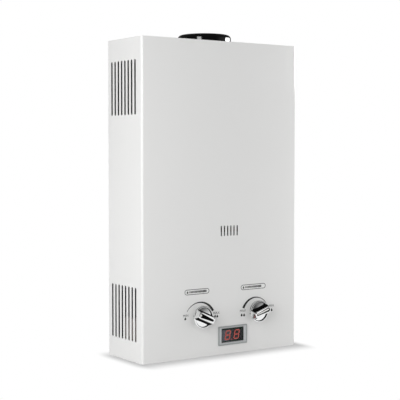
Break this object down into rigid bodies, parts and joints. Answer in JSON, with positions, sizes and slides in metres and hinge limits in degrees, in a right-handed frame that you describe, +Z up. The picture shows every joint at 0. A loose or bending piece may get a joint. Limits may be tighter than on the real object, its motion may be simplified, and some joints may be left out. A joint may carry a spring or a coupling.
{
  "type": "wall-hung gas water heater",
  "caption": "Wall-hung instantaneous gas water heater with a folded sheet casing, a flue collar on top, turning control knobs and a digital display.",
  "frame": {"origin": "middle of the wall face at the level of the casing's bottom edge", "axes": "+X to the right seen from the front, +Y into the wall with the front towards -Y, +Z up"},
  "size_m": [0.33, 0.1353, 0.5642],
  "materials": {
    "white_enamel": "satin powder coat",
    "galvanised_steel": "zinc-coated sheet",
    "black_enamel": "gloss enamel",
    "seal_fibre": "matt",
    "copper": "drawn and soldered",
    "burner_steel": "pressed stainless sheet",
    "aluminium_tube": "drawn",
    "brass": "turned",
    "cast_aluminium": "die cast",
    "white_ceramic": "glazed ceramic",
    "black_plastic": "moulded",
    "lead_insulation": "smooth insulation",
    "zinc_steel": "zinc plated",
    "chrome": "bright plated",
    "silver_plastic": "silver lacquer",
    "display_window": "smoked gloss",
    "digit_red": "lit segments",
    "circuit_board": "lacquered laminate",
    "cell_wrap": "printed film, bare of words"
  },
  "bodies": {
    "casing": {"back_plate": "galvanised_steel", "batteries": "cell_wrap", "battery_box": "black_plastic", "bottom_plate": "galvanised_steel", "burner_bars": "burner_steel", "burner_brackets": "galvanised_steel", "burner_frame": "galvanised_steel", "chamber_coil": "copper", "cold_inlet": "brass", "cold_pipe": "copper", "cover_screws": "zinc_steel", "diaphragm": "seal_fibre", "diaphragm_cover": "cast_aluminium", "diaphragm_screws": "zinc_steel", "digit_module": "digit_red", "display_bezel": "silver_plastic", "display_board": "circuit_board", "display_housing": "black_plastic", "display_window": "display_window", "drain_plug": "brass", "exchanger_shell": "copper", "exchanger_tubes": "copper", "exhaust_hood": "galvanised_steel", "fin_pack": "copper", "flame_sensor": "white_ceramic", "flue_collar": "black_enamel", "flue_gasket": "seal_fibre", "flue_screws": "zinc_steel", "front_cover": "white_enamel", "gas_inlet": "brass", "gas_manifold": "aluminium_tube", "gas_riser": "aluminium_tube", "gas_solenoid": "zinc_steel", "gas_valve_body": "cast_aluminium", "hood_brackets": "galvanised_steel", "hood_screws": "zinc_steel", "hot_outlet": "brass", "hot_outlet_block": "brass", "hot_pipe": "copper", "ignition_controller": "black_plastic", "ignition_electrode": "white_ceramic", "injectors": "brass", "inlet_strainer": "zinc_steel", "lid_hinge_pin": "zinc_steel", "micro_switch": "black_plastic", "overheat_cutout": "black_plastic", "panel_bushes": "black_plastic", "sealing_washers": "seal_fibre", "side_rails": "galvanised_steel", "top_plate": "galvanised_steel", "water_valve_body": "brass", "wiring": "lead_insulation"},
    "temperature_control": {"temperature_knob": "chrome", "temperature_spindle": "zinc_steel"},
    "flow_control": {"water_flow_knob": "chrome", "water_flow_spindle": "zinc_steel"},
    "push_rod": {"push_rod": "zinc_steel"},
    "switch_lever": {"switch_lever": "zinc_steel"},
    "battery_lid": {"battery_lid": "black_plastic"}
  },
  "joints": [
    {"name": "temperature_turn", "type": "hinge", "parent": "casing", "child": "temperature_control", "pos_m": [-0.0483, -0.1, 0.0713], "axis": [0, 1, 0], "range_deg": [0, 132]},
    {"name": "flow_turn", "type": "hinge", "parent": "casing", "child": "flow_control", "pos_m": [0.0734, -0.1, 0.0713], "axis": [0, -1, 0], "range_deg": [0, 138]},
    {"name": "push_rod_slide", "type": "slide", "parent": "casing", "child": "push_rod", "axis": [-1, 0, 0], "range_m": [0, 0.004], "stiffness_N_per_m": 800, "springref_m": -0.001},
    {"name": "switch_lever_turn", "type": "hinge", "parent": "casing", "child": "switch_lever", "pos_m": [-0.0046, -0.056, 0.0848], "axis": [0, 1, 0], "range_deg": [0, 24.5]},
    {"name": "battery_lid_hinge", "type": "hinge", "parent": "casing", "child": "battery_lid", "pos_m": [-0.1175, -0.0943, 0.0309], "axis": [-1, 0, 0], "range_deg": [0, 90]}
  ],
  "couplings": [
    {"joint": "switch_lever_turn", "follows": "push_rod_slide", "rad_per_m": 102}
  ]
}
